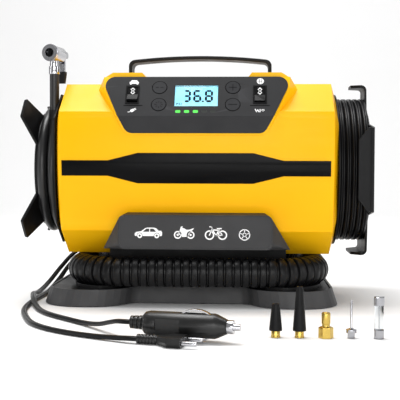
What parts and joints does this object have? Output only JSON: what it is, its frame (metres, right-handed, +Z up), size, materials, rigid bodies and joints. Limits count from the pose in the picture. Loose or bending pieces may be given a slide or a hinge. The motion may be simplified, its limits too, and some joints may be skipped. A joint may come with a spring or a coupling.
{
  "type": "portable tire inflator",
  "caption": "Portable tyre inflator: drum casing on a flared base with console, strap handle, hose and cord reels, corrugated hose, two supply plugs and loose nozzles.",
  "frame": {"origin": "centre of the rubber sole's underside, below the drum's middle, on the floor", "axes": "+X to the user's right along the drum, +Y away from the console's side, +Z up"},
  "size_m": [0.311, 0.3499, 0.2313],
  "materials": {
    "yellow": "smooth moulded plastic",
    "steel": "plain steel",
    "panel": "fine matt texture",
    "board": "solder mask",
    "lcd": "backlit display",
    "window": "clear window",
    "led": "diffusing",
    "button": "soft matt",
    "switch": "polished",
    "stripe": "glossy film",
    "grey": "satin moulded",
    "icon": "satin moulded with printed pictures",
    "black": "satin moulded",
    "rubber": "matt",
    "corrugated": "satin flexible plastic",
    "hose": "smooth rubber",
    "chrome": "bright plated",
    "cord": "satin flexible plastic",
    "plug": "satin moulded",
    "brass": "turned",
    "glass": "clear tube",
    "copper": "wound wire",
    "cast": "as cast",
    "alu": "satin",
    "white": "plain moulded"
  },
  "bodies": {
    "inflator": {"front_shell": "yellow", "rear_shell": "yellow", "shell_screws": "steel", "console_pod": "yellow", "control_panel": "panel", "control_board": "board", "lcd_module": "lcd", "display_window": "window", "led_windows": "led", "switch_housings": "switch", "center_stripe": "stripe", "icon_housing": "grey", "icon_plate": "icon", "base_pan": "grey", "hose_cradle": "black", "rubber_sole": "rubber", "corrugated_hose": "corrugated", "hose_cuffs": "black", "hose_ports": "black", "hose_reel": "black", "air_hose": "hose", "hose_outlet": "chrome", "chuck_body": "chrome", "chuck_seal": "rubber", "cord_reel": "black", "dc_cord_winding": "cord", "ac_cord_winding": "cord", "dc_cord_run": "cord", "ac_cord_run": "cord", "strain_reliefs": "cord", "dc_plug_body": "plug", "dc_plug_metal": "chrome", "ac_plug_body": "plug", "ac_plug_pins": "chrome", "cone_nozzles": "black", "brass_adapters": "brass", "ball_needle": "chrome", "spare_fuse": "glass", "motor_can": "steel", "compressor_frame": "cast", "pump_cylinder": "alu", "air_tube": "hose", "blower_motor": "steel", "volute": "white", "power_supply": "alu"},
    "handle": {"handle_strap": "black"},
    "power_rocker": {"power_rocker": "switch"},
    "pump_rocker": {"pump_rocker": "switch"},
    "unit_button": {"unit_button": "button"},
    "light_button": {"light_button": "button"},
    "plus_button": {"plus_button": "button"},
    "minus_button": {"minus_button": "button"},
    "lever": {"chuck_lever": "chrome"},
    "plug_tip": {"dc_plug_tip": "chrome"},
    "armature": {"armature": "copper"},
    "crank": {"crank_gear": "steel"},
    "connecting_rod": {"con_rod": "alu"},
    "piston": {"piston": "alu"},
    "impeller": {"impeller": "white"}
  },
  "joints": [
    {"name": "handle_slide", "type": "slide", "parent": "inflator", "child": "handle", "axis": [0, 0, 1], "range_m": [0, 0.0155]},
    {"name": "power_switch", "type": "hinge", "parent": "inflator", "child": "power_rocker", "pos_m": [-0.0553, -0.07006, 0.18295], "axis": [1, 0, 0], "range_deg": [0, 20]},
    {"name": "pump_switch", "type": "hinge", "parent": "inflator", "child": "pump_rocker", "pos_m": [0.0553, -0.07006, 0.18295], "axis": [1, 0, 0], "range_deg": [-10, 10]},
    {"name": "unit_press", "type": "slide", "parent": "inflator", "child": "unit_button", "axis": [0, 0.866, -0.5], "range_m": [0, 0.0008], "stiffness_N_per_m": 600},
    {"name": "light_press", "type": "slide", "parent": "inflator", "child": "light_button", "axis": [0, 0.866, -0.5], "range_m": [0, 0.0008], "stiffness_N_per_m": 600},
    {"name": "plus_press", "type": "slide", "parent": "inflator", "child": "plus_button", "axis": [0, 0.866, -0.5], "range_m": [0, 0.0008], "stiffness_N_per_m": 600},
    {"name": "minus_press", "type": "slide", "parent": "inflator", "child": "minus_button", "axis": [0, 0.866, -0.5], "range_m": [0, 0.0008], "stiffness_N_per_m": 600},
    {"name": "chuck_lever_turn", "type": "hinge", "parent": "inflator", "child": "lever", "pos_m": [-0.12673, -0.03151, 0.2236], "axis": [0.9781, -0.2079, 0], "range_deg": [0, 90]},
    {"name": "plug_tip_press", "type": "slide", "parent": "inflator", "child": "plug_tip", "axis": [-0.9744, 0.225, 0], "range_m": [0, 0.003], "stiffness_N_per_m": 800},
    {"name": "armature_spin", "type": "hinge", "parent": "inflator", "child": "armature", "pos_m": [-0.065, 0, 0.088], "axis": [1, 0, 0], "continuous": true},
    {"name": "crank_spin", "type": "hinge", "parent": "inflator", "child": "crank", "pos_m": [-0.03, 0, 0.11315], "axis": [1, 0, 0], "continuous": true},
    {"name": "rod_swing", "type": "hinge", "parent": "crank", "child": "connecting_rod", "pos_m": [-0.0175, 0, 0.10765], "axis": [1, 0, 0], "continuous": true},
    {"name": "piston_slide", "type": "slide", "parent": "inflator", "child": "piston", "axis": [0, 0, 1], "range_m": [0, 0.011]},
    {"name": "impeller_spin", "type": "hinge", "parent": "inflator", "child": "impeller", "pos_m": [0.062, 0.04, 0.118], "axis": [0, 1, 0], "continuous": true}
  ],
  "couplings": [
    {"joint": "crank_spin", "follows": "armature_spin", "ratio": -0.25},
    {"joint": "rod_swing", "follows": "armature_spin", "ratio": 0.25}
  ]
}
